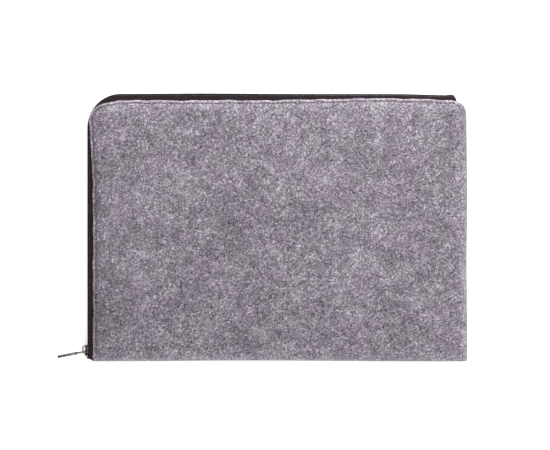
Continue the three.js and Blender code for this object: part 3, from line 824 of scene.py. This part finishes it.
woven = math_node(tape_finish, "MULTIPLY", yarns("Y", 330.0, 0.4), yarns("X", 520.0, 0.6))
lint = noise(tape_finish, weave, 160, detail=4, rough=0.7)
tone = math_node(tape_finish, "MULTIPLY", woven, 0.5)
tone = math_node(tape_finish, "ADD", tone, math_node(tape_finish, "MULTIPLY", lint, 0.6))
black_cloth = [(0.2, (0.006, 0.004, 0.005)), (0.9, (0.038, 0.025, 0.031))]
paint(tape_finish, tape_shader, "Base Color", tone, black_cloth)
bump(tape_finish, woven, 0.0003, 0.6, tape_shader)
print("tape finish:", len(tape_finish.node_tree.nodes), "nodes")

# %% Coil and thread finishes
nylon, nylon_shader = new_finish("zip_coil", 0.4, Specular_IOR_Level=0.25)
scuff = noise(nylon, object_place(nylon), 240, detail=3, rough=0.6)
black_nylon = [(0.3, (0.005, 0.004, 0.0045)), (0.8, (0.018, 0.014, 0.016))]
paint(nylon, nylon_shader, "Base Color", scuff, black_nylon)
paint(nylon, nylon_shader, "Roughness", scuff, [(0.3, grey(0.3)), (0.8, grey(0.5))])

thread, thread_shader = new_finish("thread", 0.7, Sheen_Weight=0.2)
ply = noise(thread, object_place(thread), 900, detail=2, rough=0.5)
grey_thread = [(0.3, (0.03, 0.025, 0.03)), (0.75, (0.085, 0.074, 0.086))]
paint(thread, thread_shader, "Base Color", ply, grey_thread)
bump(thread, ply, 0.0002, 0.5, thread_shader)
print("coil and thread finishes:", len(nylon.node_tree.nodes), "and", len(thread.node_tree.nodes), "nodes")

# %% [markdown]
# ### Plated zinc
# The castings are nickel-plated and a little darkened. The narrow faces that look straight up or down get a
# painted highlight, as if they caught the light from above; a random patina varies the tone and the
# roughness, and a fine grain breaks the highlights.

# %% Metal finish
zinc, zinc_shader = new_finish("plated_zinc", 0.3, Metallic=1.0)
zinc_coordinates = add_node(zinc, "ShaderNodeTexCoord")
patina = noise(zinc, zinc_coordinates.outputs["Object"], 420, detail=3, rough=0.6)
facing = add_node(zinc, "ShaderNodeSeparateXYZ")
join(zinc, zinc_coordinates.outputs["Normal"], facing.inputs[0])
# painted highlight: faces looking straight up or down are painted brighter, on top of the random patina
painted_top_highlight = math_node(zinc, "POWER", math_node(zinc, "ABSOLUTE", facing.outputs["Z"]), 8.0)
highlight_strength = add_node(zinc, "ShaderNodeAttribute", {"attribute_name": "highlight_strength"}).outputs["Fac"]
highlight_and_patina = weighted(zinc, math_node(zinc, "MULTIPLY", painted_top_highlight, highlight_strength), patina, 1.1)
metal = [(0.0, (0.025, 0.023, 0.022)), (0.35, (0.1, 0.094, 0.087)), (0.95, (0.55, 0.53, 0.5))]
paint(zinc, zinc_shader, "Base Color", highlight_and_patina, metal)
paint(zinc, zinc_shader, "Roughness", patina, [(0.3, grey(0.42)), (0.7, grey(0.22))])
fine_grain = noise(zinc, zinc_coordinates.outputs["Object"], 1500, detail=2)
bump(zinc, fine_grain, 0.00005, 0.4, zinc_shader)
print("metal finish:", len(zinc.node_tree.nodes), "nodes")

# %% [markdown]
# ## Riding
# The front panel can be opened: its corner lifts about a diagonal line. Here the front felt, tape, coil and
# stitches are only fixed where they lie and ride on no body. The back pieces, the closing seam and the stops
# ride on the sleeve, and the slider and the puller each on a body of its own.

# %% Fix the front pieces where they lie and put the rest on their bodies
for piece in (front_felt, front_tape, front_coil, front_stitches):
    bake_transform(piece)
resting = (back_felt, back_tape, back_coil, back_stitches, seam_stitches, front_stop, back_stop, end_stop)
for piece in resting:
    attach(piece, "sleeve")
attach(slider, "slider")
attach(puller, "puller")

# %% [markdown]
# Each piece takes the place of the CAD nodes it stands for, and takes its finish from a material slot.

# %% What each piece stands for, and its finish
stands_for = {
    front_felt: ["front_panel", "front_panel_corner", "front_side_edge", "front_bottom_edge"],
    back_felt: ["back_panel", "back_side_edge", "back_bottom_edge"],
    front_tape: [f"front_zip_tape_{part}" for part in ("lower", "side", "bend", "top", "end")],
    back_tape: [f"back_zip_tape_{part}" for part in ("side", "bend", "top")],
    front_coil: [f"front_zip_coil_{part}" for part in ("lower", "corner", "end")],
    back_coil: ["back_zip_coil"],
    front_stitches: [f"front_zip_stitching_{part}" for part in ("lower", "corner", "end")],
    back_stitches: ["back_zip_stitching"],
    seam_stitches: ["closing_seam_stitching"],
    slider: ["slider_body"],
    puller: ["puller"],
    front_stop: ["front_top_stop"],
    back_stop: ["back_top_stop"],
    end_stop: ["bottom_stop"],
}
for piece, nodes in stands_for.items():
    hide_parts(*nodes)
finishes = [
    ("felt", wool, (front_felt, back_felt)),
    ("zip_tape", tape_finish, (front_tape, back_tape)),
    ("zip_coil", nylon, (front_coil, back_coil)),
    ("thread", thread, (front_stitches, back_stitches, seam_stitches)),
    ("plated_zinc", zinc, (slider, puller, front_stop, back_stop, end_stop)),
]
for slot, finish, dressed in finishes:
    for piece in dressed:
        piece.data.materials.append(finish)
print(len(stands_for), "pieces with", len(finishes), "finishes")

# %% [markdown]
# The felt and the tapes are sheets of cloth: the felt's cut takes in its face, the rolled edges and the
# allowances.

# %% [markdown]
# ## Camera, floor and light
# The sleeve lies on a white sweep and is seen from straight above. A soft light stands past its top edge, a
# little to the right, and white surroundings and a faintly glowing sweep fill the shadows.

# %% Camera
eye = bpy.data.cameras.new("camera")
eye.lens = 118.25
eye.sensor_width = 36.0
camera = bpy.data.objects.new("camera", eye)
camera_height = 1.8
camera.location = (-0.002, 0.0027, thickness * MM + camera_height)
bpy.context.scene.collection.objects.link(camera)
bpy.context.scene.camera = camera
print("camera", camera_height, "m over the sleeve")

# %% Floor and light
floor_mesh = bpy.data.meshes.new("floor")
reach, below = 4, -0.0002  # metres: half the floor's width, and its place a hair under the felt
quarters = ((-1, -1), (1, -1), (1, 1), (-1, 1))
floor_corners = [(reach * x, reach * y, below) for x, y in quarters]
floor_mesh.from_pydata(floor_corners, [], [(0, 1, 2, 3)])
floor = bpy.data.objects.new("floor", floor_mesh)
bpy.context.scene.collection.objects.link(floor)
paper, paper_shader = new_finish("paper", 0.9)
paper_shader.inputs["Base Color"].default_value = (*grey(0.93), 1)
paper_shader.inputs["Emission Color"].default_value = (1, 1, 1, 1)
paper_shader.inputs["Emission Strength"].default_value = 0.27
floor_mesh.materials.append(paper)

surroundings = bpy.data.worlds.new("surroundings")
surroundings.use_nodes = True
sky = surroundings.node_tree.nodes["Background"]
sky.inputs["Color"].default_value = (1, 1, 1, 1)
sky.inputs["Strength"].default_value = 1.2
bpy.context.scene.world = surroundings
softbox = bpy.data.lights.new("softbox", "AREA")
softbox.energy = 8.0
softbox.size = 0.5
lamp = bpy.data.objects.new("softbox", softbox)
lamp.location = (0.21, 0.6, 0.4)
lamp.rotation_euler = (-lamp.location).to_track_quat("-Z", "Y").to_euler()
bpy.context.scene.collection.objects.link(lamp)
bpy.context.scene.view_settings.view_transform = "Standard"
print("softbox of", softbox.size, "m at", tuple(round(v, 2) for v in lamp.location))
